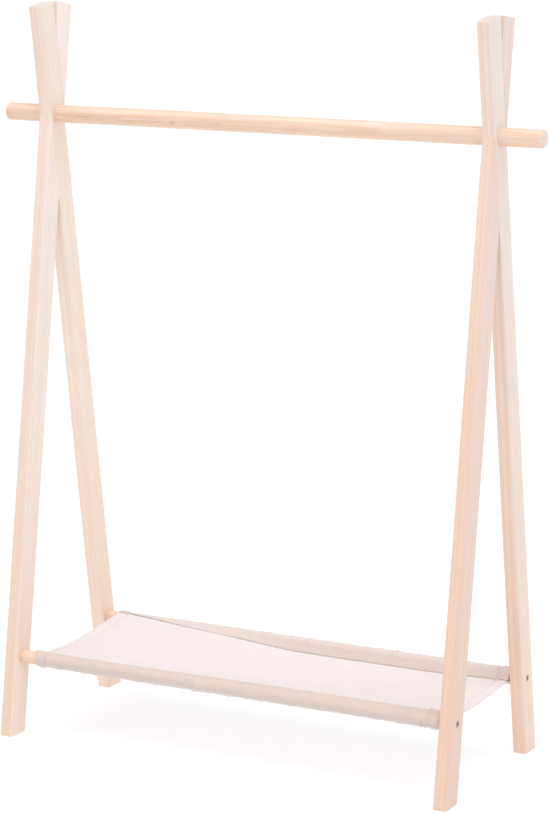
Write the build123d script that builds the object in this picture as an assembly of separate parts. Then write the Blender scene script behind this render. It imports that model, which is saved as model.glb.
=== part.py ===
from build123d import *
import os
from math import cos, radians, sin, tan

# A free-standing child-size clothes rack. Two side frames, each a pair of legs half-lapped into
# a narrow X, carry a round hanging rail through their crossings. Low down, two round dowels
# between the frames stretch a canvas sling that serves as a shelf.
#
# Millimetres. Origin on the floor, midway between the four feet. X runs along the rail,
# -Y is the front, Z is up. Each screw and bore is driven along X.

# Driving dimensions
RAIL_HEIGHT = 848.0           # axis of the hanging rail, where the legs of a frame cross
LEG_LEAN = 8.72               # degrees, each leg from the vertical
LEG_WIDTH = 34.5              # in the plane of the side frame
LEG_THICKNESS = 18.5          # along the rail
LEG_ABOVE_RAIL = 151.0        # along the leg, from the rail's axis to the square-cut top
FRAME_SPAN = 677.0            # from the outside of one side frame to the outside of the other
EDGE_ROUNDING = 1.2           # eased arrises of the legs

RAIL_DIAMETER = 24.0
RAIL_LENGTH = 796.0
RAIL_CHAMFER = 1.5
RAIL_HOLE_CLEARANCE = 0.05    # radial, a tight glued fit

DOWEL_HEIGHT = 107.6          # axis of the two shelf dowels
DOWEL_DIAMETER = 18.0
DOWEL_CHAMFER = 0.8

SCREW_LENGTH = 60.0
SCREW_SHANK_DIAMETER = 5.0
SCREW_HEAD_DIAMETER = 9.6
SCREW_HEAD_DEPTH = 2.6
SCREW_TIP_LENGTH = 4.0
SCREW_CLEARANCE = 0.05        # radial, round the shank and the head
RECESS_ARM_WIDTH = 1.2        # cross recess in the head
RECESS_SPAN = 5.2
RECESS_DEPTH = 1.9

SLING_LEFT = -302.0           # ends of the canvas: it has slid towards the right frame
SLING_RIGHT = 316.0
CANVAS_GAP = 0.3              # left free between the canvas and what is next to it
SLEEVE_THICKNESS = 1.2
PANEL_THICKNESS = 2.0
PANEL_HIGH_EDGE = 115.0       # height of the panel where it comes off the top of a sleeve
PANEL_LOW_EDGE = 100.0        # and where it comes off the bottom of one
PANEL_LEFT_SAG = 110.0        # height of the panel half way across, at its left end
PANEL_TWIST_SAG = 101.0       # where the twist ends
PANEL_RIGHT_SAG = 98.0        # and at its right end
TWIST_END = -60.0             # from the left end to here, the back sleeve turns on its dowel

# Derived places
LEAN = radians(LEG_LEAN)
FRAME_X = FRAME_SPAN / 2 - LEG_THICKNESS / 2
INNER_FACE_X = FRAME_SPAN / 2 - LEG_THICKNESS
DOWEL_Y = (RAIL_HEIGHT - DOWEL_HEIGHT) * tan(LEAN)
LEG_BELOW_RAIL = RAIL_HEIGHT / cos(LEAN) + LEG_WIDTH
SLING_MIDDLE = (SLING_LEFT + SLING_RIGHT) / 2
SLING_LENGTH = SLING_RIGHT - SLING_LEFT

FRONT, BACK = -1, 1
LEFT, RIGHT = -1, 1
SIDE_NAMES = {LEFT: "left", RIGHT: "right"}
END_NAMES = {FRONT: "front", BACK: "back"}


def along_x(radius, length, x=0.0, y=0.0, z=0.0):
    """A cylinder along X, centred on the given point."""
    return Pos(x, y, z) * Rot(Y=90) * Cylinder(radius, length)


def leaning_bar(foot, width_along_x, x_offset=0.0):
    """A square-edged bar on the line of the leg whose foot is in front or at the back."""
    length = LEG_BELOW_RAIL + LEG_ABOVE_RAIL
    bar = Pos(x_offset, 0, (LEG_ABOVE_RAIL - LEG_BELOW_RAIL) / 2) * Box(width_along_x, LEG_WIDTH, length)
    return Pos(0, 0, RAIL_HEIGHT) * Rot(X=foot * LEG_LEAN) * bar


def screw_hole(side, foot):
    """The countersunk hole through a leg for the screw that holds a shelf dowel."""
    shank = along_x(SCREW_SHANK_DIAMETER / 2 + SCREW_CLEARANCE, 2 * LEG_THICKNESS)
    sink = Cone(SCREW_SHANK_DIAMETER / 2 + SCREW_CLEARANCE, SCREW_HEAD_DIAMETER / 2 + SCREW_CLEARANCE,
                SCREW_HEAD_DEPTH)
    sink = Pos(side * (LEG_THICKNESS - SCREW_HEAD_DEPTH) / 2, 0, 0) * Rot(Y=side * 90) * sink
    return Pos(0, foot * DOWEL_Y, DOWEL_HEIGHT) * (shank + sink)


def leg(side, foot):
    """One leg: square-cut at the top, cut level at the floor, halved where it crosses its partner."""
    bar = fillet(leaning_bar(foot, LEG_THICKNESS).edges(), EDGE_ROUNDING)
    bar = split(bar, bisect_by=Plane.XY, keep=Keep.TOP)
    # Both frames are made alike: the back leg keeps its right half at the crossing.
    halving = leaning_bar(-foot, LEG_THICKNESS / 2, x_offset=-foot * LEG_THICKNESS / 4)
    rail_hole = along_x(RAIL_DIAMETER / 2 + RAIL_HOLE_CLEARANCE, 2 * LEG_THICKNESS, z=RAIL_HEIGHT)
    return Pos(side * FRAME_X, 0, 0) * (bar - halving - rail_hole - screw_hole(side, foot))


def round_bar(diameter, length, end_chamfer):
    """A round wooden bar along X with chamfered ends."""
    bar = along_x(diameter / 2, length)
    return chamfer(bar.edges().filter_by(GeomType.CIRCLE), end_chamfer)


def hanging_rail():
    """The rail, through both crossings and past them."""
    return Pos(0, 0, RAIL_HEIGHT) * round_bar(RAIL_DIAMETER, RAIL_LENGTH, RAIL_CHAMFER)


def shelf_dowel(foot):
    """A dowel butted between the side frames, drilled at both ends for its screws."""
    dowel = round_bar(DOWEL_DIAMETER, 2 * INNER_FACE_X, DOWEL_CHAMFER)
    pilot_depth = SCREW_LENGTH - LEG_THICKNESS + SCREW_CLEARANCE
    for side in (LEFT, RIGHT):
        pilot_x = side * (INNER_FACE_X - pilot_depth / 2)
        dowel -= along_x(SCREW_SHANK_DIAMETER / 2 + SCREW_CLEARANCE, pilot_depth, x=pilot_x)
    return Pos(0, foot * DOWEL_Y, DOWEL_HEIGHT) * dowel


def shelf_screw(side, foot):
    """A countersunk cross-recess wood screw, head flush with the outside of the leg."""
    head_radius = SCREW_HEAD_DIAMETER / 2
    shank_radius = SCREW_SHANK_DIAMETER / 2
    outline = Polyline(
        (0, 0), (head_radius, 0), (shank_radius, -SCREW_HEAD_DEPTH),
        (shank_radius, -SCREW_LENGTH + SCREW_TIP_LENGTH), (0, -SCREW_LENGTH), close=True,
    )
    screw = revolve(Plane.XZ * make_face(outline), Axis.Z)
    for turn in (0, 90):
        arm = Box(RECESS_SPAN, RECESS_ARM_WIDTH, RECESS_DEPTH)
        screw -= Pos(0, 0, -RECESS_DEPTH / 2) * Rot(Z=turn + 45) * arm
    place = Pos(side * FRAME_SPAN / 2, foot * DOWEL_Y, DOWEL_HEIGHT)
    return place * Rot(Y=side * 90) * screw


def canvas_sleeve(foot):
    """The tube of canvas sewn round a shelf dowel."""
    inner = DOWEL_DIAMETER / 2 + CANVAS_GAP
    tube = along_x(inner + SLEEVE_THICKNESS, SLING_LENGTH) - along_x(inner, 2 * SLING_LENGTH)
    return Pos(SLING_MIDDLE, foot * DOWEL_Y, DOWEL_HEIGHT) * tube


def panel_section(x, middle_height, back_height):
    """The sagging section of the panel at one place along the dowels."""
    edge_y = DOWEL_Y - DOWEL_DIAMETER / 2 - SLEEVE_THICKNESS - 2 * CANVAS_GAP
    half = PANEL_THICKNESS / 2
    top = ThreePointArc((-edge_y, PANEL_HIGH_EDGE + half), (0, middle_height + half),
                        (edge_y, back_height + half))
    bottom = ThreePointArc((edge_y, back_height - half), (0, middle_height - half),
                           (-edge_y, PANEL_HIGH_EDGE - half))
    back_edge = Line(top @ 1, bottom @ 0)
    front_edge = Line(bottom @ 1, top @ 0)
    return Pos(x, 0, 0) * (Plane.YZ * make_face([top, back_edge, bottom, front_edge]))


def canvas_panel():
    """The sheet between the sleeves. Its back edge goes from the top of the back dowel to its bottom."""
    sections = [
        panel_section(SLING_LEFT, PANEL_LEFT_SAG, PANEL_HIGH_EDGE),
        panel_section(TWIST_END, PANEL_TWIST_SAG, PANEL_LOW_EDGE),
        panel_section(SLING_RIGHT, PANEL_RIGHT_SAG, PANEL_LOW_EDGE),
    ]
    return loft(sections, ruled=True)


def all_parts():
    """Every sub-part in its place, by node name."""
    parts = {"hanging_rail": hanging_rail(), "shelf_panel": canvas_panel()}
    for foot, end in END_NAMES.items():
        parts[f"{end}_shelf_dowel"] = shelf_dowel(foot)
        parts[f"{end}_sleeve"] = canvas_sleeve(foot)
        for side, hand in SIDE_NAMES.items():
            parts[f"{hand}_{end}_leg"] = leg(side, foot)
            parts[f"{hand}_{end}_screw"] = shelf_screw(side, foot)
    return parts


os.makedirs("parts", exist_ok=True)
for name, shape in all_parts().items():
    export_step(shape, f"parts/{name}.step")
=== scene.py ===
import math

import bmesh
import bpy
import numpy as np
from mathutils import Matrix, Vector


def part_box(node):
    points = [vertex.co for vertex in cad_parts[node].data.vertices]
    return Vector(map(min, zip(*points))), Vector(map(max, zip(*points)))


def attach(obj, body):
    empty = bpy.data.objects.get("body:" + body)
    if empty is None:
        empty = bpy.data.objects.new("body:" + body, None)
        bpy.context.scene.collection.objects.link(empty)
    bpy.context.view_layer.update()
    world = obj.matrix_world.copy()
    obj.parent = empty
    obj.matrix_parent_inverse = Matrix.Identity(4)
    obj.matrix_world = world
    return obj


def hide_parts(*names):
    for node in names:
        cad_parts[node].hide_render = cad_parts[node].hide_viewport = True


# A child-size clothes rack in pale pine with a canvas sling shelf. The wood and the screws are the
# frame's own nodes with better materials. The canvas is built here: one sheet sewn into a sleeve
# round each shelf dowel, with folded hems and stitching. Lengths are in metres and angles in
# radians, unless a comment says otherwise.

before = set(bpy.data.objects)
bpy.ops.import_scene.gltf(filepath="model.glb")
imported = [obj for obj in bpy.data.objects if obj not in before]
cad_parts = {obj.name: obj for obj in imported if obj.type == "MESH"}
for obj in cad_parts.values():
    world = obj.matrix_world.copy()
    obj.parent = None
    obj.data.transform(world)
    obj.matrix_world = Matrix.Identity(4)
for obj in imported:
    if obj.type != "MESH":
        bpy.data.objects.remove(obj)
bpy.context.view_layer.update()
MM = 0.001

# The camera, at the photograph's viewing angle
CAMERA_PLACE = Vector((1.7664, -3.2996, 1.2343))
CAMERA_YAW = math.radians(27.96)
CAMERA_PITCH = math.radians(78.45)
CAMERA_ROLL = math.radians(-0.12)
CAMERA_LENS = 126.1           # on a 36 mm sensor

# Light. Each lamp is a wide soft source: its name, the direction it comes from, its spread in degrees,
# its strength and its colour.
SKY_COLOUR = (1.0, 1.0, 1.0)
SKY_STRENGTH = 0.45
LIGHTS = (
    ("overhead_key", (0.04, -0.15, 0.98), 64, 2.42, (0.985, 0.985, 1.0)),
    ("warm_front", (-0.25, -0.93, 0.27), 80, 0.38, (1.0, 0.63, 0.42)),
    ("cool_side", (0.93, 0.05, 0.36), 80, 0.78, (0.80, 0.92, 1.0)),
)
FLOOR_COLOUR = (0.25, 0.25, 0.25)
FLOOR_GLOW = (0.795, 0.79, 0.785)
FLOOR_REACH = 60.0            # the floor's radius

# The wooden frame's own measures. FRONT and BACK are the sides of it along Y.
LEG_LEAN = math.radians(8.72)
FRONT, BACK = -1, 1
RAIL_LOW, RAIL_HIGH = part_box("hanging_rail")
RAIL_CENTRE = (RAIL_LOW + RAIL_HIGH) / 2
SLEEVE_LOW, SLEEVE_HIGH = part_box("front_sleeve")
DOWELS = {}                   # each shelf dowel's centre and radius
for _foot, _name in ((FRONT, "front_shelf_dowel"), (BACK, "back_shelf_dowel")):
    _low, _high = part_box(_name)
    DOWELS[_foot] = ((_low + _high) / 2, (_high.z - _low.z) / 2)

# The canvas
DRAWN_IN = 4 * MM             # how far the left hem's stitching draws the cloth in
SLING_LEFT = SLEEVE_LOW.x + DRAWN_IN
SLING_RIGHT = SLEEVE_HIGH.x
CLOTH_THICKNESS = 0.8 * MM
LAYER_STEP = 1.15 * CLOTH_THICKNESS    # between two layers sewn together, middle to middle
CLOTH_SLACK = 0.2 * MM        # between the dowel and the sleeve's inside
MOUTH_SLANT = 6 * MM          # how far the left mouth of the front sleeve slants back
MOUTH_REACH = 60 * MM         # how far along the sleeve that can be seen
CANVAS_THREAD = 0.55 * MM     # pitch of the weave
CANVAS_TONE = (0.822, 0.755, 0.768)
SLEEVE_SHADE_TONE = (0.84, 0.765, 0.685)    # painted shade: how the sleeves' cloth is darkened and warmed where it lies on a dowel
# How much of that painted shade each sleeve takes over its dowel's top and under it (most on the
# front sleeve's top, which flattens how the light falls there), and the gap between dowel and
# cloth over which it fades.
SLEEVE_SHADE = ((FRONT, 1.0, 0.3, 1.7 * MM), (BACK, 0.6, 0.5, 4.0 * MM))

# The canvas's mesh: columns along it, rows round each sleeve and across the panel
COLUMN_PITCH = 2.9 * MM
HEM_COLUMN_PITCH = 0.8 * MM   # finer, for the stitching's groove
GATHER_COLUMN_PITCH = 1.2 * MM
HEM_REACH = 26 * MM           # how much of each end has the finer columns
TUBE_STEPS = 44
PANEL_STEPS = 60
ALLOWANCE_STEPS = 4

# Seams, hems and sewing
SEAM_ALLOWANCE = 7 * MM       # where the sleeve's end lies flat under the panel
SEAM_STITCH_LINE = 2.2 * MM   # from the seam, on the panel
HEM_WIDTH = 18 * MM
HEM_STITCH_LINE = 15.5 * MM   # from the cloth's end
HEM_FLARE = 0.65 * MM         # how much wider a sleeve is over its hems
HEM_LIFT = 0.45 * MM          # how proud the hem's band stands
HEM_GAP = 0.1 * MM            # between the hem, folded inside the sleeve, and the dowel
HEM_UNDERSIDE = -1.75 * MM    # from the middle of the cloth
GROOVE_DEPTH = 1.75 * MM      # where the hem's stitches pull the cloth down
GROOVE_WIDTH = 1.1 * MM
STITCH_LENGTH = 2.8 * MM
STITCH_GAP = 0.9 * MM
STITCH_THREAD = 0.5 * MM      # the sewing thread's diameter

# How the sling has twisted on its dowels, from left to right: place along the sling as a share of
# its length, the seam's angle round the dowel in degrees (0 is the back, 90 the top, 180 the front
# and 270 the bottom), and how far the panel pulls the seam off the dowel, in mm.
FRONT_SEAM = ((0.0, 10, 5.0), (0.35, 28, 4.2), (0.7, 54, 3.2), (1.0, 73, 3.0))
BACK_SEAM = ((0.0, 101, 0.5), (0.16, 149, 1.9), (0.37, 186, 4.8), (0.46, 204, 7.0),
             (0.84, 205, 6.8), (1.0, 193, 4.4))
SEAM_EASE = 0.035             # how gently that changes, as a share of the sling's length
SEAM_LIP = 1.3 * MM           # how proud the sleeve's folded edge stands at the back seam
SEAM_LIP_RIGHT = 0.5 * MM     # the same at its right end
SEAM_LIP_FRONT = 0.5 * MM     # the same all along the front seam
# Gathers in the front sleeve: place along it as a share of its length, and half width.
FRONT_GATHERS = ((0.13, 9 * MM), (0.715, 8 * MM), (0.955, 15 * MM))
GATHER_PITCH = 5.4 * MM
GATHER_DEPTH = 0.95 * MM
# How deep the sleeves' short wrinkles and long swells are, and the panel's drag lines and dimples
WRINKLE_DEPTH = 0.62 * MM
SWELL_DEPTH = 0.42 * MM
DRAG_DEPTH = 0.10 * MM
DIMPLE_DEPTH = 0.16 * MM
# The panel's sag below the line between its seams: depth, and how far it is drawn to the front.
SAG_LEFT = (6.0 * MM, 0.35)
SAG_RIGHT = (12.0 * MM, 0.8)

random = np.random.default_rng(20)


# ---------------------------------------------------------------- materials

class Recipe:
    """One node material: adds nodes and links them, so that each finish below stays short."""

    def __init__(self, name):
        self.material = bpy.data.materials.new(name)
        self.material.use_nodes = True
        self.tree = self.material.node_tree
        self.tree.nodes.clear()
        self.surface = self.tree.nodes.new("ShaderNodeBsdfPrincipled")
        output = self.tree.nodes.new("ShaderNodeOutputMaterial")
        self.tree.links.new(self.surface.outputs["BSDF"], output.inputs["Surface"])

    def feed(self, socket, value):
        if isinstance(value, bpy.types.NodeSocket):
            self.tree.links.new(value, socket)
        else:
            socket.default_value = value

    def node(self, kind, out=0, settings=None, **inputs):
        made = self.tree.nodes.new("ShaderNode" + kind)
        for key, value in (settings or {}).items():
            setattr(made, key, value)
        for key, value in inputs.items():
            self.feed(made.inputs[key.replace("_", " ")], value)
        return made.outputs[out]

    def math(self, operation, a, b=None):
        made = self.tree.nodes.new("ShaderNodeMath")
        made.operation = operation
        for socket, value in zip(made.inputs, (a, b)):
            if value is not None:
                self.feed(socket, value)
        return made.outputs[0]

    def vector(self, operation, a, b=None, scale=None):
        made = self.tree.nodes.new("ShaderNodeVectorMath")
        made.operation = operation
        self.feed(made.inputs[0], a)
        if b is not None:
            self.feed(made.inputs[1], b)
        if scale is not None:
            self.feed(made.inputs["Scale"], scale)
        return made.outputs["Value" if operation == "LENGTH" else "Vector"]

    def noise(self, place, scale, detail=2.0, roughness=0.5, colour=False):
        return self.node("TexNoise", 1 if colour else 0, Vector=place, Scale=scale, Detail=detail,
                         Roughness=roughness)

    def ramp(self, value, low, high, to_low=0.0, to_high=1.0, smooth=True):
        made = self.tree.nodes.new("ShaderNodeMapRange")
        made.interpolation_type = "SMOOTHSTEP" if smooth else "LINEAR"
        for socket, given in zip(made.inputs, (value, low, high, to_low, to_high)):
            self.feed(socket, given)
        return made.outputs[0]

    def mix(self, share, a, b, blend="MIX"):
        made = self.tree.nodes.new("ShaderNodeMix")
        made.data_type = "RGBA"
        made.blend_type = blend
        self.feed(made.inputs["Factor"], share)
        for socket, value in ((made.inputs[6], a), (made.inputs[7], b)):
            self.feed(socket, value if isinstance(value, bpy.types.NodeSocket) else (*value, 1.0))
        return made.outputs[2]

    def finish(self, **inputs):
        for key, value in inputs.items():
            self.feed(self.surface.inputs[key.replace("_", " ")], value)
        return self.material


def pine(name, turn, pith, tone, drift, ring=3.2 * MM, wander=5 * MM, flames=1.4, contrast=1.0,
         side=None, knots=(), coat=0.0):
    """Pine whose growth rings lie round a pith line. turn brings the piece's long axis to Z and pith
    says how far that line is from the piece; the rings give straight grain on the faces, flames
    where they wander along a face, and arcs on the end grain. drift is how the tone changes along
    the piece: from where to where, and the tint at both; on a leg it is a painted shade, deepening
    towards the foot. flames is how many wanderings a metre has, side is where a tint beside one face
    starts and is whole, with that tint, which paints light and shade on that face, and each knot or
    dark streak is its centre, its radius, how much longer than wide it is, how far it pushes the rings
    aside and how dark it is. coat is a thin varnish."""
    r = Recipe(name)
    early = [x * y for x, y in zip(tone, (1.02, 1.035, 1.05))]
    late = [x * y for x, y in zip(tone, (0.955, 0.835, 0.735))]
    between = [0.5 * (x + y) for x, y in zip(early, late)]
    whole = r.node("TexCoord", 3)
    place = r.node("Mapping", Vector=whole, Rotation=turn, Location=pith)
    stretched = r.vector("MULTIPLY", place, (9.0, 9.0, flames))
    sway = r.vector("SUBTRACT", r.noise(stretched, 1.0, 2.0, colour=True), (0.5, 0.5, 0.5))
    bent = r.vector("ADD", place, r.vector("SCALE", sway, scale=wander))
    radius = r.vector("LENGTH", r.vector("MULTIPLY", bent, (1.0, 1.0, 0.0)))
    phase = r.math("DIVIDE", radius, ring)
    uneven = r.noise(r.node("CombineXYZ", X=radius), 170.0, 1.0)
    phase = r.math("ADD", phase, r.math("MULTIPLY", uneven, 1.6))
    knot_mask = None
    for centre, size, length, push, strength in knots:
        away = r.vector("SUBTRACT", place, Vector(centre) + Vector(pith))
        distance = r.vector("LENGTH", r.vector("MULTIPLY", away, (1.0, 1.0, 1.0 / length)))
        phase = r.math("ADD", phase, r.ramp(distance, 0.0, 6 * size, push, 0.0))
        spot = r.ramp(distance, 0.3 * size, 1.5 * size, strength, 0.0)
        knot_mask = spot if knot_mask is None else r.math("MAXIMUM", knot_mask, spot)
    saw = r.math("FRACT", phase)
    rise = r.ramp(saw, 0.42, 0.90)
    fall = r.ramp(saw, 0.90, 1.0, 1.0, 0.0)
    late_wood = r.math("MULTIPLY", rise, fall)
    strength = r.ramp(r.noise(r.node("CombineXYZ", X=radius), 90.0, 2.0), 0.3, 0.7, 0.35, 1.0)
    late_wood = r.math("MULTIPLY", late_wood, strength)

    fibre_place = r.vector("MULTIPLY", bent, (1.0, 1.0, 0.022))
    fibre = r.noise(fibre_place, 900.0, 3.0, 0.6)
    streak = r.noise(fibre_place, 260.0, 2.0, 0.55)
    cloudy = r.noise(r.vector("MULTIPLY", place, (1.0, 1.0, 0.25)), 14.0, 2.0)
    duct_place = r.vector("MULTIPLY", bent, (1.0, 1.0, 0.05))
    duct = r.ramp(r.noise(duct_place, 1500.0, 1.0), 0.70, 0.78)

    colour = r.mix(r.math("MULTIPLY", late_wood, contrast), early, late)
    colour = r.mix(r.ramp(streak, 0.38, 0.68, 0.0, 0.52 * contrast), colour, late)
    colour = r.mix(r.ramp(fibre, 0.3, 0.8, 0.0, 0.30), colour, [0.88 * x for x in early])
    colour = r.mix(r.ramp(cloudy, 0.35, 0.7, 0.0, 0.35), colour, between)
    colour = r.mix(r.math("MULTIPLY", duct, 0.28), colour, [0.62 * x for x in late])
    # Painted light and shade: a tint over the wood beside one face.
    if side is not None:
        start, whole_from, tint = side
        beside = r.ramp(r.node("SeparateXYZ", 0, Vector=place), start + pith[0], whole_from + pith[0])
        colour = r.mix(1.0, colour, r.mix(beside, PLAIN, tint), blend="MULTIPLY")
    if knot_mask is not None:
        colour = r.mix(knot_mask, colour, KNOT_TONE)
    # Along the piece; on a leg this is a painted shade that deepens towards the foot.
    start, end, start_tint, end_tint = drift
    along = r.node("SeparateXYZ", 2, Vector=place)
    share = r.ramp(along, start + pith[2], end + pith[2], smooth=False)
    colour = r.mix(1.0, colour, r.mix(share, start_tint, end_tint), blend="MULTIPLY")

    # End grain drinks more finish: greyer and a little darker than the long faces.
    facing = r.node("Mapping", Vector=r.node("TexCoord", 1), Rotation=turn)
    upright = r.node("SeparateXYZ", 2, Vector=facing)
    end_grain = r.ramp(r.math("ABSOLUTE", upright), 0.80, 0.97)
    pores = r.noise(place, 1400.0, 2.0)
    end_colour = r.mix(r.ramp(pores, 0.35, 0.7, 0.1, 0.4), END_TONE, [0.8 * x for x in END_TONE])
    end_colour = r.mix(r.math("MULTIPLY", late_wood, 0.6), end_colour, [0.84 * x for x in late])
    colour = r.mix(r.math("MULTIPLY", end_grain, 0.75), colour, end_colour)

    height = r.math("ADD", r.math("MULTIPLY", fibre, 0.7), r.math("MULTIPLY", late_wood, 0.5))
    height = r.math("SUBTRACT", height, r.math("MULTIPLY", duct, 0.6))
    bump = r.node("Bump", Height=height, Strength=0.35, Distance=0.12 * MM)
    gloss = r.ramp(fibre, 0.25, 0.8, 0.40, 0.56)
    return r.finish(Base_Color=colour, Roughness=gloss, Normal=bump, IOR=1.5, Sheen_Weight=0.22,
                    Sheen_Roughness=0.4, Coat_Weight=coat, Coat_Roughness=0.32)


def steel(name):
    """Zinc-plated steel, with the fine turning marks and the cloudiness of plated screws."""
    r = Recipe(name)
    place = r.node("TexCoord", 3)
    cloudy = r.noise(place, 900.0, 3.0)
    colour = r.mix(r.ramp(cloudy, 0.35, 0.7), (0.36, 0.31, 0.25), (0.50, 0.44, 0.36))
    rough = r.ramp(r.noise(place, 2600.0, 2.0), 0.3, 0.7, 0.26, 0.44)
    bump = r.node("Bump", Height=cloudy, Strength=0.25, Distance=0.03 * MM)
    return r.finish(Base_Color=colour, Metallic=1.0, Roughness=rough, Normal=bump)


def canvas(name, base, pitch):
    """Plain-weave cotton canvas. The cloth's own flat measures, in metres, are its UV map."""
    r = Recipe(name)
    flat = r.node("UVMap", settings={"uv_map": "cut"})
    wobble = r.vector("SUBTRACT", r.noise(flat, 260.0, 2.0, colour=True), (0.5, 0.5, 0.5))
    flat = r.vector("ADD", flat, r.vector("SCALE", wobble, scale=0.55 * pitch))
    across = r.node("SeparateXYZ", 0, Vector=flat)
    along = r.node("SeparateXYZ", 1, Vector=flat)
    warp_place = r.math("DIVIDE", across, pitch)
    weft_place = r.math("DIVIDE", along, pitch)
    warp = r.math("SINE", r.math("MULTIPLY", warp_place, math.pi))
    weft = r.math("SINE", r.math("MULTIPLY", weft_place, math.pi))
    over = r.math("GREATER_THAN", r.math("MULTIPLY", warp, weft), 0.0)
    warp_round = r.math("POWER", r.math("ABSOLUTE", warp), 0.5)
    weft_round = r.math("POWER", r.math("ABSOLUTE", weft), 0.5)
    crown = r.math("MULTIPLY", warp_round, weft_round)
    low_round = r.math("MULTIPLY", crown, 0.75)
    height = r.node("Mix", Factor=over, A=low_round, B=crown)

    warp_id = r.math("FLOOR", warp_place)
    weft_id = r.math("FLOOR", weft_place)
    warp_tone = r.node("TexWhiteNoise", settings={"noise_dimensions": "1D"}, W=warp_id)
    weft_tone = r.node("TexWhiteNoise", settings={"noise_dimensions": "1D"}, W=weft_id)
    thread_tone = r.node("Mix", Factor=over, A=warp_tone, B=weft_tone)
    slub = r.noise(r.vector("MULTIPLY", flat, (1.0, 0.06, 1.0)), 1300.0, 2.0)
    fleck = r.ramp(r.noise(flat, 900.0, 2.0), 0.73, 0.80)
    cloudy = r.noise(flat, 22.0, 3.0)

    # Painted shade: the hollows between the threads' crowns are darker and warmer.
    weave_hollow_shade = [x * y for x, y in zip(base, (0.80, 0.76, 0.72))]
    warm_tone = [x * y for x, y in zip(base, (0.975, 0.95, 0.915))]
    colour = r.mix(r.ramp(crown, 0.15, 0.75), weave_hollow_shade, base)
    colour = r.mix(r.math("MULTIPLY", thread_tone, 0.55), colour, warm_tone)
    colour = r.mix(r.ramp(slub, 0.45, 0.75, 0.0, 0.35), colour, warm_tone)
    colour = r.mix(r.ramp(cloudy, 0.35, 0.7, 0.0, 0.25), colour, warm_tone)
    colour = r.mix(r.math("MULTIPLY", fleck, 0.30), colour, (0.52, 0.42, 0.30))
    # Painted shade: the sleeves are darkened and warmed where they lie on a dowel.
    dowel_shade = r.node("Attribute", 2, settings={"attribute_name": "painted_sleeve_shade"})
    colour = r.mix(dowel_shade, colour, SLEEVE_SHADE_TONE, blend="MULTIPLY")
    height = r.math("ADD", height, r.math("MULTIPLY", slub, 0.35))
    bump = r.node("Bump", Height=height, Strength=0.55, Distance=0.16 * MM)
    return r.finish(Base_Color=colour, Roughness=0.92, Normal=bump, Sheen_Weight=0.18,
                    Sheen_Roughness=0.5, Specular_IOR_Level=0.25)


def thread(name):
    """Twisted cotton sewing thread, darker than the cloth: partly the thread's own tone and partly painted
    shade along the stitch lines.
    """
    r = Recipe(name)
    place = r.node("TexCoord", 3)
    strands = r.noise(r.vector("MULTIPLY", place, (1.0, 1.6, 1.0)), 3800.0, 2.0)
    colour = r.mix(r.ramp(strands, 0.35, 0.7), (0.50, 0.43, 0.39), (0.66, 0.59, 0.54))
    bump = r.node("Bump", Height=strands, Strength=0.5, Distance=0.08 * MM)
    return r.finish(Base_Color=colour, Roughness=0.8, Normal=bump, Sheen_Weight=0.2)


def paper_floor(name):
    """A plain pale studio floor with a faint mottling, which glows a little so that it is evenly pale."""
    r = Recipe(name)
    mottle = r.noise(r.node("TexCoord", 3), 30.0, 3.0)
    colour = r.mix(mottle, FLOOR_COLOUR, [x * 0.97 for x in FLOOR_COLOUR])
    return r.finish(Base_Color=colour, Roughness=0.9, Specular_IOR_Level=0.1,
                    Emission_Color=(*FLOOR_GLOW, 1.0), Emission_Strength=1.0)


KNOT_TONE = (0.62, 0.34, 0.20)
END_TONE = (0.76, 0.66, 0.60)
RAIL_TONE = (0.845, 0.64, 0.505)
DOWEL_TONE = (0.84, 0.62, 0.49)
PLAIN = (1.0, 1.0, 1.0)       # a tint that changes nothing

# Each leg is its own stick: which way it leans, how its rings lie, its tone at the top, how that
# deepens to the foot (a painted shade, darker and warmer towards the floor), the pitch and strength
# of its rings, and the tint beside its right (+X) face (painted light and shade on that face).
LEG_STICKS = {
    "left_front_leg": (FRONT, (0.400, 0.21, 0.3), (0.852, 0.738, 0.670), (0.96, 0.87, 0.79),
                       3.4 * MM, 0.75, (1.07, 1.10, 1.125)),
    "left_back_leg": (BACK, (0.412, 0.05, 1.7), (0.924, 0.823, 0.757), (1.01, 0.925, 0.84),
                      3.2 * MM, 0.75, (0.965, 0.935, 0.90)),
    "right_front_leg": (FRONT, (-0.277, 0.20, 2.9), (0.865, 0.70, 0.605), (0.95, 0.865, 0.79),
                        4.4 * MM, 1.0, (0.945, 0.948, 1.0)),
    "right_back_leg": (BACK, (-0.262, 0.06, 4.1), (0.872, 0.735, 0.650), (0.99, 0.885, 0.805),
                       3.8 * MM, 1.0, (0.955, 1.01, 1.055)),
}
# A dark streak down the front left corner of one stick, above the crossing
STREAKS = {"left_back_leg": (((-0.336, 0.112, 0.940), 15 * MM, 10.0, 0.0, 0.25),)}


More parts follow.
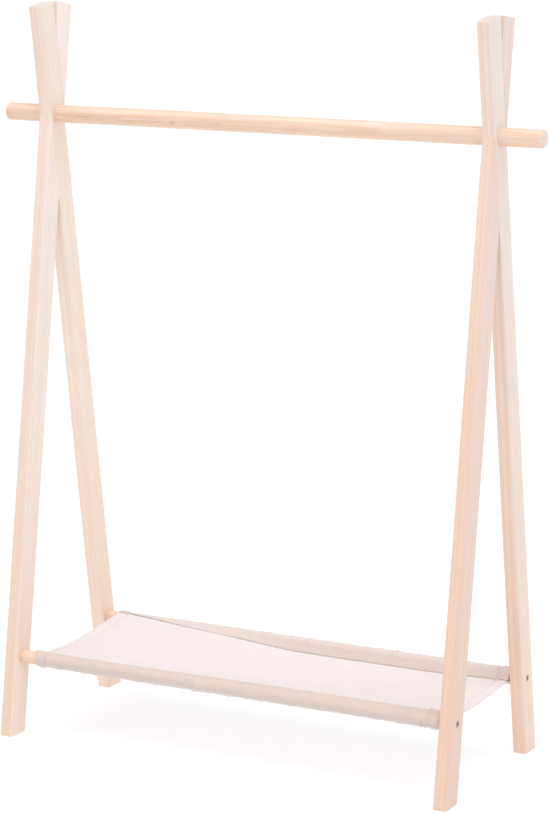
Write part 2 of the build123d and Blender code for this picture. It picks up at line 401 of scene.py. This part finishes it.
def finish_wood():
    """Gives every wooden node and every screw its finish."""
    for node, (foot, pith, tone, foot_shade_tint, ring, contrast, tint) in LEG_STICKS.items():
        turn = (-foot * LEG_LEAN, 0, 0)
        # Painted shade: darker and warmer at the foot, plain from the rail up.
        drift = (0.0, RAIL_CENTRE.z, foot_shade_tint, PLAIN)
        low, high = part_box(node)
        # A painted light and shade tint beside the stick's +X face.
        side = (0.25 * low[0] + 0.75 * high[0], high[0], tint)
        material = pine(node + "_pine", turn, pith, tone, drift, ring=ring, contrast=contrast, side=side,
                        knots=STREAKS.get(node, ()))
        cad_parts[node].data.materials[0] = material
    along_x = (0, -math.pi / 2, 0)
    down = -RAIL_CENTRE.z
    # Two dark knots on the rail's front, then three faint flames
    marks = (((down + 0.001, -0.0118, -0.272), 1.7 * MM, 9.0, 0.7, 0.6),
             ((down + 0.0035, -0.0115, -0.134), 2.2 * MM, 2.2, 0.55, 0.6),
             ((down + 0.001, -0.0118, -0.160), 2.4 * MM, 7.0, 0.7, 0.13),
             ((down + 0.002, -0.0118, -0.070), 2.6 * MM, 4.0, 0.8, 0.16),
             ((down + 0.004, -0.0112, 0.060), 3.0 * MM, 10.0, 0.8, 0.14))
    drift = (RAIL_LOW.x, RAIL_HIGH.x, (0.98, 0.965, 0.965), (1.02, 1.05, 1.09))
    rail = pine("rail_pine", along_x, (-down, -0.034, 0.0), RAIL_TONE, drift, ring=5.2 * MM,
                wander=17 * MM, flames=8.0, contrast=1.25, knots=marks, coat=0.30)
    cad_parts["hanging_rail"].data.materials[0] = rail
    for foot, node in ((FRONT, "front_shelf_dowel"), (BACK, "back_shelf_dowel")):
        drift = (-1.0, 1.0, PLAIN, PLAIN)
        material = pine(node + "_pine", along_x, (0.13, 0.15 * foot, 1.0), DOWEL_TONE, drift, ring=2.4 * MM)
        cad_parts[node].data.materials[0] = material
    screws = steel("screw_steel")
    for node in ("left_front_screw", "left_back_screw", "right_front_screw", "right_back_screw"):
        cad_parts[node].data.materials[0] = screws


# ---------------------------------------------------------------- the canvas sling

def seam_course(table, share):
    """The seam's angle and pull along the sling, smoothly through a table like FRONT_SEAM."""
    places = np.array([row[0] for row in table])
    values = np.array([row[1:] for row in table], float)
    fine = np.linspace(0, 1, 401)
    smooth = np.empty((len(fine), 2))
    reach = np.exp(-0.5 * ((fine[:, None] - fine[None, :]) / SEAM_EASE) ** 2)
    for k in range(2):
        straight = np.interp(fine, places, values[:, k])
        smooth[:, k] = (reach @ straight) / reach.sum(1)
    return (np.radians(np.interp(share, fine, smooth[:, 0])),
            np.interp(share, fine, smooth[:, 1]) * MM)


def ripples(x, count, shortest, longest):
    """Smooth random ripples along the sling, about -1 to 1."""
    total = np.zeros_like(x)
    for _ in range(count):
        wave = random.uniform(shortest, longest)
        total += np.sin(2 * math.pi * (x / wave + random.random()))
    return total / math.sqrt(count / 2) / 1.6


def column_places():
    """Where the sheet's columns are along the sling: close at the gathers, closest at the hems."""
    fine = np.linspace(SLING_LEFT, SLING_RIGHT, 4001)
    pitch = np.full_like(fine, COLUMN_PITCH)
    for place, reach in gather_places():
        pitch[np.abs(fine - place) < 1.3 * reach] = GATHER_COLUMN_PITCH
    pitch[np.minimum(fine - SLING_LEFT, SLING_RIGHT - fine) < HEM_REACH] = HEM_COLUMN_PITCH
    columns = np.concatenate([[0], np.cumsum(np.diff(fine) / pitch[1:])])
    return np.interp(np.linspace(0, columns[-1], round(columns[-1]) + 1), columns, fine)


def gather_places():
    """The middle and the half width of each gather in the front sleeve."""
    return [(SLING_LEFT + share * (SLING_RIGHT - SLING_LEFT), reach) for share, reach in FRONT_GATHERS]


def gathered(x, angle):
    """Small creases round the lower front of the front sleeve, where the cloth has bunched."""
    creases = np.zeros_like(x)
    for place, reach in gather_places():
        fade = np.exp(-2.2 * ((x - place) / reach) ** 2)
        creases += fade * np.sin(2 * math.pi * (x - place) / GATHER_PITCH)
    low_front = np.clip(np.cos(angle - math.radians(235)), 0, 1)
    return GATHER_DEPTH * creases * low_front


def end_flare(x):
    """1 over the hems, where the cloth is double, fading to 0 past them."""
    from_end = np.minimum(x - SLING_LEFT, SLING_RIGHT - x)
    return np.clip((HEM_WIDTH + 5 * MM - from_end) / (7 * MM), 0, 1)


def sleeve_rows(foot, x, seam_angle, pull, lip):
    """The sleeve round one dowel, and its seam: rows of (y, z) from the seam once round the dowel,
    outer way first. Away from the seam it lies on the dowel; near it, two straight runs meet where
    the panel pulls. The outer layer's folded edge stands proud of the panel by lip."""
    centre, dowel_radius = DOWELS[foot]
    lying = dowel_radius + CLOTH_SLACK + CLOTH_THICKNESS / 2
    lying = lying + HEM_FLARE * end_flare(x)
    reach = lying + pull
    spread = np.arccos(np.clip(lying / reach, -1, 1))
    way = 1 if foot == FRONT else -1
    gathers = [ripples(x, 6, 9 * MM, 34 * MM) for _ in range(4)]
    swells = [ripples(x, 3, 60 * MM, 160 * MM) for _ in range(2)]
    rows = []
    for step in range(TUBE_STEPS + 1):
        turned = 2 * math.pi * step / TUBE_STEPS
        from_seam = min(turned, 2 * math.pi - turned)
        angle = seam_angle + way * turned
        off = np.clip(spread - from_seam, 0, None)
        radius = lying / np.cos(off)
        far_side = math.sin(turned / 2)
        around = [math.cos(turned * (k + 1) / 2 + 1.3 * k) for k in range(4)]
        wrinkle = sum(g * a for g, a in zip(gathers, around)) * WRINKLE_DEPTH
        swell = sum(w * a for w, a in zip(swells, around)) * SWELL_DEPTH
        radius = radius + far_side * (np.abs(wrinkle) + 0.3 * wrinkle + np.abs(swell))
        if foot == FRONT:
            radius = radius + gathered(x, angle)
        if step > TUBE_STEPS / 2 and from_seam < 0.5:
            radius = radius - LAYER_STEP
        if step <= TUBE_STEPS / 4:
            radius = radius + lip * math.exp(-turned / 0.45)
        rows.append(np.stack([centre.y + radius * np.cos(angle), centre.z + radius * np.sin(angle)], 1))
    seam = np.stack([centre.y + reach * np.cos(seam_angle), centre.z + reach * np.sin(seam_angle)], 1)
    return rows, seam


def folded_edge(panel_end, sleeve_start, inwards):
    """Two rows that round the sleeve's folded edge over the panel's end."""
    rise = sleeve_start - panel_end
    low = panel_end + 0.35 * rise + np.array([inwards * 0.55 * MM, 0.05 * MM])
    high = panel_end + 0.80 * rise + np.array([inwards * 0.50 * MM, 0.05 * MM])
    return [low, high]


def allowance_rows(panel_rows):
    """The sleeve's end, flat against the underside of the panel, from the seam towards the middle."""
    stack = np.stack(panel_rows[:8])
    pitch = np.linalg.norm(stack[1] - stack[0], axis=1)
    column = np.arange(stack.shape[1])
    rows = []
    for step in range(1, ALLOWANCE_STEPS + 1):
        at = SEAM_ALLOWANCE * step / ALLOWANCE_STEPS / pitch
        low = np.floor(at).astype(int)
        part = (at - low)[:, None]
        point = stack[low, column] * (1 - part) + stack[low + 1, column] * part
        rows.append(point - np.array([0.0, LAYER_STEP]))
    return rows


def panel_rows(x, share, front_edge, back_edge):
    """The panel from seam to seam, sagging, with long shallow drag lines and soft dimples along it."""
    depth = SAG_LEFT[0] + (SAG_RIGHT[0] - SAG_LEFT[0]) * share
    skew = SAG_LEFT[1] + (SAG_RIGHT[1] - SAG_LEFT[1]) * share ** 2
    drags = [(ripples(x, 3, 120 * MM, 420 * MM), random.uniform(5, 13), ripples(x, 2, 300 * MM, 700 * MM))
             for _ in range(7)]
    soft = [ripples(x, 4, 28 * MM, 90 * MM) for _ in range(3)]
    rows = []
    for step in range(PANEL_STEPS + 1):
        t = step / PANEL_STEPS
        row = front_edge * (1 - t) + back_edge * t
        row[:, 1] -= 4 * depth * t * (1 - t) * (1 + skew * (1 - 2 * t))
        free = min(1.0, 5 * t, 5 * (1 - t))
        drag = sum(d * np.sin(2 * math.pi * (n * t + 1.6 * shift)) for d, n, shift in drags)
        dimple = sum(d * math.cos(math.pi * (k + 0.5) * t) for k, d in enumerate(soft))
        row[:, 1] += free * (drag * DRAG_DEPTH + dimple * DIMPLE_DEPTH)
        rows.append(row)
    return rows


def slant_mouth(grid, centre):
    """Draws the left mouth of the front sleeve back at the front, where the hem pulls it."""
    angle = np.arctan2(grid[:, :, 2] - centre.z, grid[:, :, 1] - centre.y) % (2 * math.pi)
    round_front = np.sin(math.pi * np.clip((angle - 1.2) / 4.5, 0, 1)) ** 2
    near_end = np.clip(1 - (grid[:, :, 0] - SLING_LEFT) / MOUTH_REACH, 0, 1) ** 2
    grid[:, :, 0] += MOUTH_SLANT * round_front * near_end


def sling_grid():
    """The whole sheet as rows across and columns along: its points, how much painted shade each takes
    where it lies on a dowel (most over the front sleeve's top), and the first and last rows of the panel."""
    x = column_places()
    share = (x - SLING_LEFT) / (SLING_RIGHT - SLING_LEFT)
    front, front_seam = sleeve_rows(FRONT, x, *seam_course(FRONT_SEAM, share), SEAM_LIP_FRONT)
    lip = SEAM_LIP + (SEAM_LIP_RIGHT - SEAM_LIP) * np.clip((share - 0.25) / 0.3, 0, 1)
    back, back_seam = sleeve_rows(BACK, x, *seam_course(BACK_SEAM, share), lip)
    panel = panel_rows(x, share, front_seam, back_seam)
    front_edge = folded_edge(front_seam, front[0], 1)
    back_edge = folded_edge(back_seam, back[0], -1)
    first_tube = allowance_rows(panel)[::-1] + front[::-1] + front_edge[::-1]
    rows = first_tube + panel + back_edge + back + allowance_rows(panel[::-1])
    grid = np.stack([np.concatenate([x[:, None], row], 1) for row in rows])
    tube = slice(0, len(first_tube) - 2)
    front_part = grid[tube]
    slant_mouth(front_part, DOWELS[FRONT][0])
    grid[tube] = front_part
    shade_over_dowels = np.zeros(grid.shape[:2])
    # Painted shade: darker where the cloth lies close to a dowel, weighted towards the dowel's top.
    for foot, over, under, depth in SLEEVE_SHADE:
        centre, radius = DOWELS[foot]
        from_axis = np.hypot(grid[:, :, 1] - centre.y, grid[:, :, 2] - centre.z)
        close = np.clip(2.7 - (from_axis - radius) / depth, 0, 1)
        upwards = 0.5 + 0.5 * (grid[:, :, 2] - centre.z) / from_axis
        shade_over_dowels = np.maximum(shade_over_dowels, (under + (over - under) * upwards) * close)
    first = len(first_tube)
    shade_over_dowels[first:first + PANEL_STEPS + 1] = 0
    return grid, shade_over_dowels, first, first + PANEL_STEPS


def grid_normals(grid):
    """Unit normals of a grid of points, outwards from the sleeves and up from the panel."""
    across = np.gradient(grid, axis=0)
    along = np.gradient(grid, axis=1)
    normal = np.cross(along, across)
    return normal / np.linalg.norm(normal, axis=2, keepdims=True)


def grid_object(name, grid, shade_over_dowels):
    """A mesh from a grid of points. Its UV map holds the cloth's flat measures in metres, and its
    attribute holds the painted shade where the cloth lies on a dowel."""
    rows, columns = grid.shape[:2]
    mesh = bpy.data.meshes.new(name)
    index = np.arange(rows * columns).reshape(rows, columns)
    below, above = index[:-1], index[1:]
    faces = np.stack([below[:, :-1], below[:, 1:], above[:, 1:], above[:, :-1]], 2).reshape(-1, 4)
    mesh.from_pydata(grid.reshape(-1, 3).tolist(), [], faces.tolist())
    run_up = np.linalg.norm(np.diff(grid, axis=0), axis=2).mean(1)
    flat_up = np.broadcast_to(np.concatenate([[0], np.cumsum(run_up)])[:, None], (rows, columns))
    flat = np.stack([grid[:, :, 0], flat_up], 2).reshape(-1, 2)
    layer = mesh.uv_layers.new(name="cut")
    corners = np.empty(len(mesh.loops), int)
    mesh.loops.foreach_get("vertex_index", corners)
    layer.data.foreach_set("uv", flat[corners].astype(np.float32).ravel())
    painted_sleeve_shade = mesh.attributes.new("painted_sleeve_shade", "FLOAT", "POINT")
    painted_sleeve_shade.data.foreach_set("value", shade_over_dowels.astype(np.float32).ravel())
    made = bpy.data.objects.new(name, mesh)
    bpy.context.scene.collection.objects.link(made)
    shade_smooth(mesh)
    return made


def shade_smooth(mesh):
    mesh.polygons.foreach_set("use_smooth", [True] * len(mesh.polygons))
    mesh.update()


def at_column(values, column):
    """The column of a grid at a place that may lie between two of its columns."""
    low = min(int(column), values.shape[1] - 2)
    part = column - low
    return values[:, low] * (1 - part) + values[:, low + 1] * part


def at_row(values, row):
    """The row of a grid at a place that may lie between two of its rows."""
    return at_column(values.swapaxes(0, 1), row)


def column_from_end(end, distance):
    """Which column lies a distance inside the sling's left (-1) or right (1) end."""
    x = column_places()
    place = SLING_LEFT + distance if end < 0 else SLING_RIGHT - distance
    return float(np.interp(place, x, np.arange(len(x))))


def clear_of_dowels(points, gap, least=None):
    """Moves points that are nearer than gap to a dowel's surface straight out to it. Where least is
    given, a point goes no further out than that same point of least."""
    for centre, radius in DOWELS.values():
        middle = np.array([centre.y, centre.z])
        out = points[..., 1:] - middle
        distance = np.linalg.norm(out, axis=-1, keepdims=True)
        floor = np.full_like(distance, radius + gap)
        if least is not None:
            floor = np.minimum(floor, np.linalg.norm(least[..., 1:] - middle, axis=-1, keepdims=True))
        points[..., 1:] = middle + out * np.maximum(floor / distance, 1.0)
    return points


def dent_hems(grid):
    """The hem's band stands a little proud and its stitching pulls a puckered groove in the cloth."""
    x = column_places()
    from_end = np.minimum(x - SLING_LEFT, SLING_RIGHT - x)
    band = np.sin(np.clip(from_end / HEM_STITCH_LINE, 0, 1) * math.pi)
    groove = np.exp(-0.5 * ((from_end - HEM_STITCH_LINE) / GROOVE_WIDTH) ** 2)
    along_hem = np.arange(grid.shape[0])[:, None]
    pucker = 0.75 + 0.25 * np.sin(along_hem * 1.9) * np.sin(along_hem * 0.37)
    lift = HEM_LIFT * band - GROOVE_DEPTH * groove * pucker
    dented = grid + grid_normals(grid) * lift[:, :, None]
    return clear_of_dowels(dented, CLOTH_SLACK + CLOTH_THICKNESS / 2, grid)


def make_sling(grid, shade_over_dowels, material):
    sling = grid_object("canvas_sling", grid, shade_over_dowels)
    sling.data.materials.append(material)
    solid = sling.modifiers.new("thickness", "SOLIDIFY")
    solid.thickness = CLOTH_THICKNESS
    solid.offset = 0.0
    return sling


# The hem's fold, in mm: along the sling from its end, and up from the middle of the cloth
HEM_FOLD = ((0.3, 0.46), (-0.45, 0.42), (-0.95, 0.0), (-1.05, -0.7), (-0.9, -1.35), (-0.35, -1.75),
            (0.6, -1.85), (8.0, -1.8), (14.2, -1.7), (15.5, -1.55), (16.8, -1.75), (18.0, -1.5),
            (18.1, -1.0), (17.6, -0.5), (0.3, -0.45))


def make_hem(name, grid, shade_over_dowels, end, material):
    """The folded edge of the cloth: it turns under at the sling's end and lies against its inside."""
    kept = slice(ALLOWANCE_STEPS + 1, grid.shape[0] - ALLOWANCE_STEPS - 1)
    normal = grid_normals(grid)
    loops = []
    for out, up in HEM_FOLD:
        column = column_from_end(end, max(out, 0.0) * MM)
        line = at_column(grid, column) + at_column(normal, column) * up * MM
        line[:, 0] -= end * min(out, 0.0) * MM
        loops.append(clear_of_dowels(line[kept], HEM_GAP))
    ring = np.stack(loops + loops[:1], axis=1)
    # The hem takes the sleeve's painted shade at the cloth's end.
    edge = at_column(shade_over_dowels[:, :, None], column_from_end(end, 0.0))[kept]
    hem = grid_object(name, ring, np.broadcast_to(edge, ring.shape[:2]))
    bm = bmesh.new()
    bm.from_mesh(hem.data)
    bmesh.ops.remove_doubles(bm, verts=bm.verts, dist=1e-7)
    bmesh.ops.holes_fill(bm, edges=[e for e in bm.edges if e.is_boundary], sides=0)
    bmesh.ops.recalc_face_normals(bm, faces=bm.faces)
    bm.to_mesh(hem.data)
    bm.free()
    shade_smooth(hem.data)
    hem.data.materials.append(material)
    return hem


def stitch_run(points, normals):
    """A run of stitches along a line: each is a short thread that dips into the cloth at both ends."""
    steps = np.linalg.norm(np.diff(points, axis=0), axis=1)
    run = np.concatenate([[0], np.cumsum(steps)])
    verts, faces = [], []
    start = STITCH_GAP
    rings, sides = 5, 6
    while start + STITCH_LENGTH < run[-1]:
        s = start + np.linspace(0, STITCH_LENGTH, rings)
        middle = np.stack([np.interp(s, run, points[:, k]) for k in range(3)], 1)
        up = np.stack([np.interp(s, run, normals[:, k]) for k in range(3)], 1)
        up /= np.linalg.norm(up, axis=1, keepdims=True)
        ahead = np.gradient(middle, axis=0)
        ahead /= np.linalg.norm(ahead, axis=1, keepdims=True)
        side = np.cross(up, ahead)
        arch = np.sin(np.linspace(0, math.pi, rings))
        first = len(verts)
        for k in range(rings):
            radius = STITCH_THREAD / 2 * (0.55 + 0.45 * arch[k])
            lift = STITCH_THREAD * (0.55 * arch[k] - 0.35)
            for j in range(sides):
                a = 2 * math.pi * j / sides
                rise = up[k] * (lift + radius * math.sin(a))
                verts.append(middle[k] + rise + side[k] * radius * math.cos(a))
        for k in range(rings - 1):
            for j in range(sides):
                a, b = first + k * sides + j, first + k * sides + (j + 1) % sides
                faces.append((a, b, b + sides, a + sides))
        faces.append(tuple(range(first + sides - 1, first - 1, -1)))
        faces.append(tuple(range(first + (rings - 1) * sides, first + rings * sides)))
        start += STITCH_LENGTH + STITCH_GAP
    return verts, faces


def make_stitching(name, runs, material):
    """All the stitches of one seam as one piece."""
    verts, faces = [], []
    for points, normals in runs:
        more_verts, more_faces = stitch_run(points, normals)
        faces += [tuple(i + len(verts) for i in face) for face in more_faces]
        verts += more_verts
    mesh = bpy.data.meshes.new(name)
    mesh.from_pydata([tuple(v) for v in verts], [], faces)
    mesh.materials.append(material)
    shade_smooth(mesh)
    made = bpy.data.objects.new(name, mesh)
    bpy.context.scene.collection.objects.link(made)
    return made


def offset_line(points, normal, lift):
    """A sewing line on the cloth's upper side, or its under side where lift is below 0, with the way
    out of the cloth."""
    normal = normal / np.linalg.norm(normal, axis=1, keepdims=True)
    return clear_of_dowels(points + normal * lift, HEM_GAP), normal * math.copysign(1, lift)


def sew(grid, panel_first, panel_last, material):
    """Both sleeves' seams and both hems, stitched through, so they show above and below."""
    normal = grid_normals(grid)
    over = CLOTH_THICKNESS / 2
    under_sleeve_end = -over - LAYER_STEP
    pitch = np.linalg.norm(grid[panel_first + 1] - grid[panel_first], axis=1).mean()
    offset = SEAM_STITCH_LINE / pitch
    front_row, back_row = panel_first + offset, panel_last - offset
    pieces = []
    for name, row in (("front_seam_stitching", front_row), ("back_seam_stitching", back_row)):
        points, up = at_row(grid, row), at_row(normal, row)
        runs = [offset_line(points, up, lift) for lift in (over, under_sleeve_end)]
        pieces.append(make_stitching(name, runs, material))
    hemmed = slice(ALLOWANCE_STEPS + 2, grid.shape[0] - ALLOWANCE_STEPS - 2)
    for name, end in (("left_hem_stitching", -1), ("right_hem_stitching", 1)):
        column = column_from_end(end, HEM_STITCH_LINE)
        points, up = at_column(grid, column)[hemmed], at_column(normal, column)[hemmed]
        runs = [offset_line(points, up, lift) for lift in (over, HEM_UNDERSIDE)]
        pieces.append(make_stitching(name, runs, material))
    return pieces


def make_canvas():
    cloth = canvas("canvas", CANVAS_TONE, CANVAS_THREAD)
    grid, shade_over_dowels, panel_first, panel_last = sling_grid()
    grid = dent_hems(grid)
    sling = make_sling(grid, shade_over_dowels, cloth)
    hems = [make_hem("left_hem", grid, shade_over_dowels, -1, cloth), make_hem("right_hem", grid, shade_over_dowels, 1, cloth)]
    stitching = sew(grid, panel_first, panel_last, thread("cotton_thread_and_stitch_shade"))
    for piece in [sling, *hems, *stitching]:
        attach(piece, "root")
    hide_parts("shelf_panel", "front_sleeve", "back_sleeve")


# ---------------------------------------------------------------- camera, light and floor

def add_camera():
    data = bpy.data.cameras.new("camera")
    data.sensor_width = 36.0
    data.lens = CAMERA_LENS
    data.clip_end = 200.0
    camera = bpy.data.objects.new("camera", data)
    turn = Matrix.Rotation(CAMERA_YAW, 4, "Z") @ Matrix.Rotation(CAMERA_PITCH, 4, "X")
    camera.matrix_world = Matrix.Translation(CAMERA_PLACE) @ turn @ Matrix.Rotation(CAMERA_ROLL, 4, "Z")
    bpy.context.scene.collection.objects.link(camera)
    bpy.context.scene.camera = camera


def add_light():
    world = bpy.data.worlds.new("studio")
    world.use_nodes = True
    background = world.node_tree.nodes["Background"]
    background.inputs["Color"].default_value = (*SKY_COLOUR, 1.0)
    background.inputs["Strength"].default_value = SKY_STRENGTH
    bpy.context.scene.world = world
    for name, direction, spread, strength, colour in LIGHTS:
        data = bpy.data.lights.new(name, "SUN")
        data.angle = math.radians(spread)
        data.energy = strength
        data.color = colour
        lamp = bpy.data.objects.new(name, data)
        lamp.rotation_euler = Vector(direction).to_track_quat("Z", "Y").to_euler()
        bpy.context.scene.collection.objects.link(lamp)
    bpy.context.scene.view_settings.view_transform = "Standard"


def add_floor():
    """A wide flat disc."""
    bm = bmesh.new()
    bmesh.ops.create_circle(bm, cap_ends=True, segments=96, radius=FLOOR_REACH)
    mesh = bpy.data.meshes.new("floor")
    bm.to_mesh(mesh)
    bm.free()
    mesh.materials.append(paper_floor("floor_paint"))
    floor = bpy.data.objects.new("floor", mesh)
    bpy.context.scene.collection.objects.link(floor)


add_camera()
add_light()
add_floor()
finish_wood()
make_canvas()
